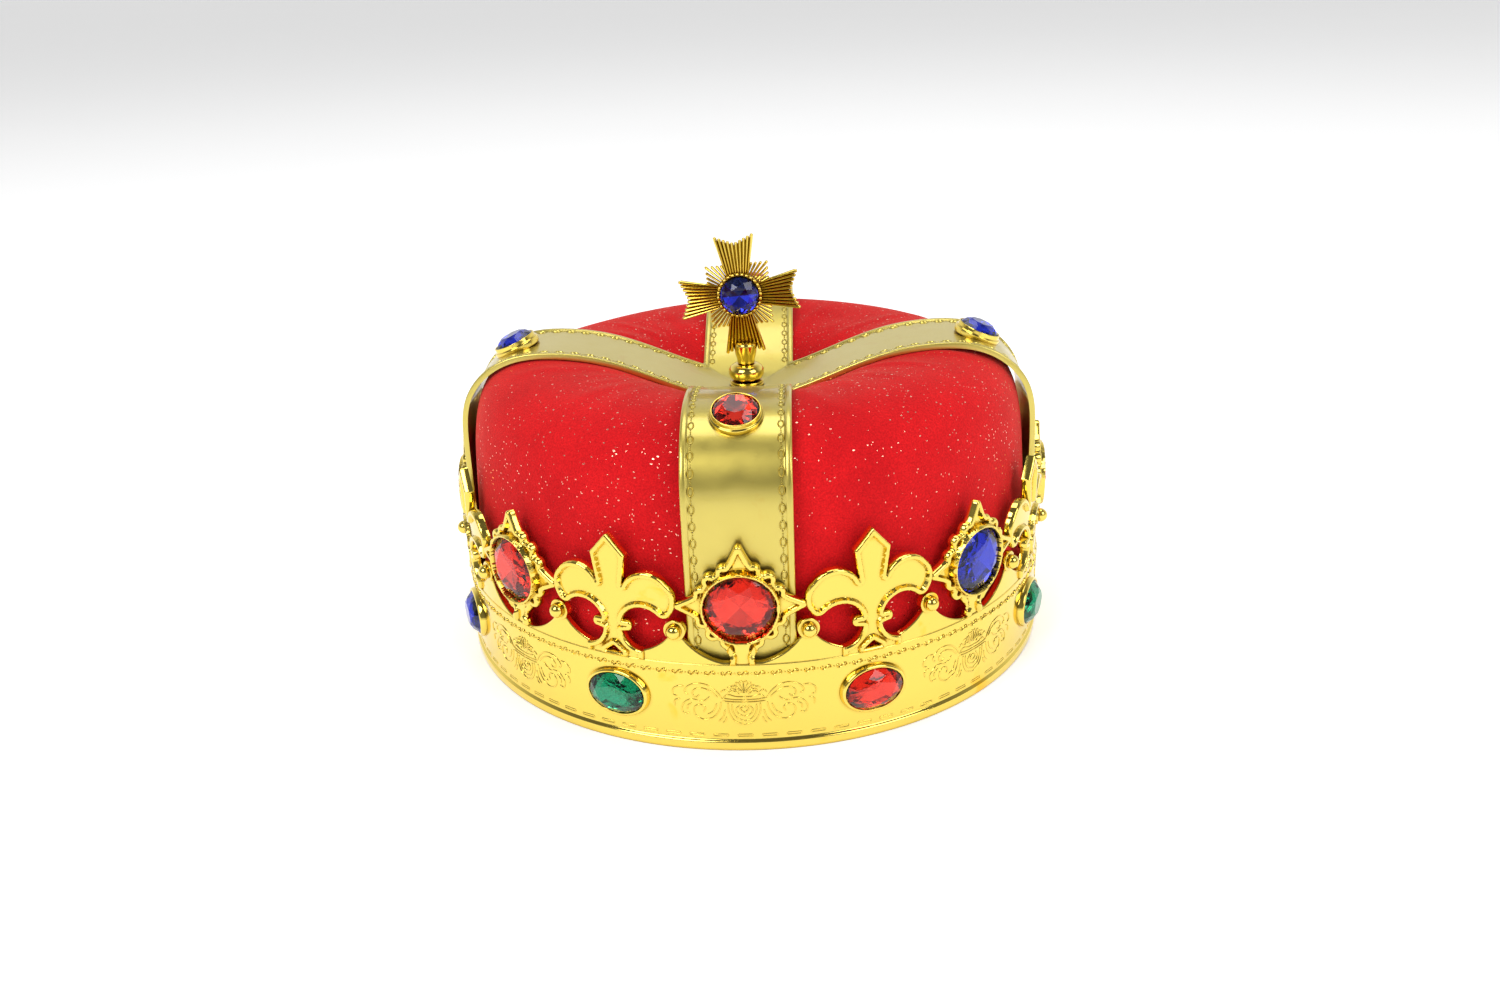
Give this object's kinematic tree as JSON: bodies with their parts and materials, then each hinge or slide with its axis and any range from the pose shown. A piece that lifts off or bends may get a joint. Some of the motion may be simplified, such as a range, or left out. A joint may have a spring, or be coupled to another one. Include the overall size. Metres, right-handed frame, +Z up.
{
  "type": "crown",
  "caption": "Costume royal crown: moulded gold band with a fleur-de-lis and gem-set star fringe, crossed arches over a puffed red velvet cap, and a cross finial that turns.",
  "frame": {"origin": "on the crown's axis, in the plane of the rim's bottom edge", "axes": "+Z up along the crown's axis, -Y towards the crown's front"},
  "size_m": [0.2024, 0.2024, 0.1308],
  "materials": {
    "bright_gold": "bright gold metallised moulded plastic",
    "satin_gold": "satin gold metallised moulded plastic",
    "red_gem": "faceted foil-backed acrylic",
    "blue_gem": "faceted foil-backed acrylic",
    "green_gem": "faceted foil-backed acrylic",
    "red_velvet": "short-pile velvet with fine glitter",
    "lining_cloth": "plain non-woven lining",
    "sweatband_ribbon": "ribbed ribbon",
    "white_plastic": "moulded",
    "rivet_brass": "polished",
    "fastener_steel": "zinc plated"
  },
  "bodies": {
    "root": {"rim_band": "bright_gold", "band_rivets": "rivet_brass", "cross_strap": "satin_gold", "strap_pins": "white_plastic", "velvet_cap": "red_velvet", "cap_lining": "lining_cloth", "sweatband": "sweatband_ribbon", "finial_washer": "fastener_steel", "arch_gem_setting_front": "bright_gold", "arch_gem_front": "red_gem", "arch_gem_setting_right": "bright_gold", "arch_gem_right": "blue_gem", "arch_gem_setting_back": "bright_gold", "arch_gem_back": "red_gem", "arch_gem_setting_left": "bright_gold", "arch_gem_left": "blue_gem", "star_gem_front": "red_gem", "star_gem_front_right": "blue_gem", "star_gem_right": "red_gem", "star_gem_back_right": "blue_gem", "star_gem_back": "red_gem", "star_gem_back_left": "red_gem", "star_gem_left": "blue_gem", "star_gem_front_left": "red_gem", "oval_gem_front_right": "red_gem", "oval_gem_right_front": "green_gem", "oval_gem_right_back": "blue_gem", "oval_gem_back_right": "red_gem", "oval_gem_back_left": "green_gem", "oval_gem_left_back": "red_gem", "oval_gem_left_front": "blue_gem", "oval_gem_front_left": "green_gem"},
    "finial": {"finial_screw": "fastener_steel", "finial_collar": "bright_gold", "finial_knob": "bright_gold", "finial_stem": "bright_gold", "finial_cross": "bright_gold", "finial_gem": "blue_gem"}
  },
  "joints": [
    {"name": "finial_turn", "type": "hinge", "parent": "root", "child": "finial", "pos_m": [0, 0, 0.08], "axis": [0, 0, 1], "continuous": true}
  ]
}
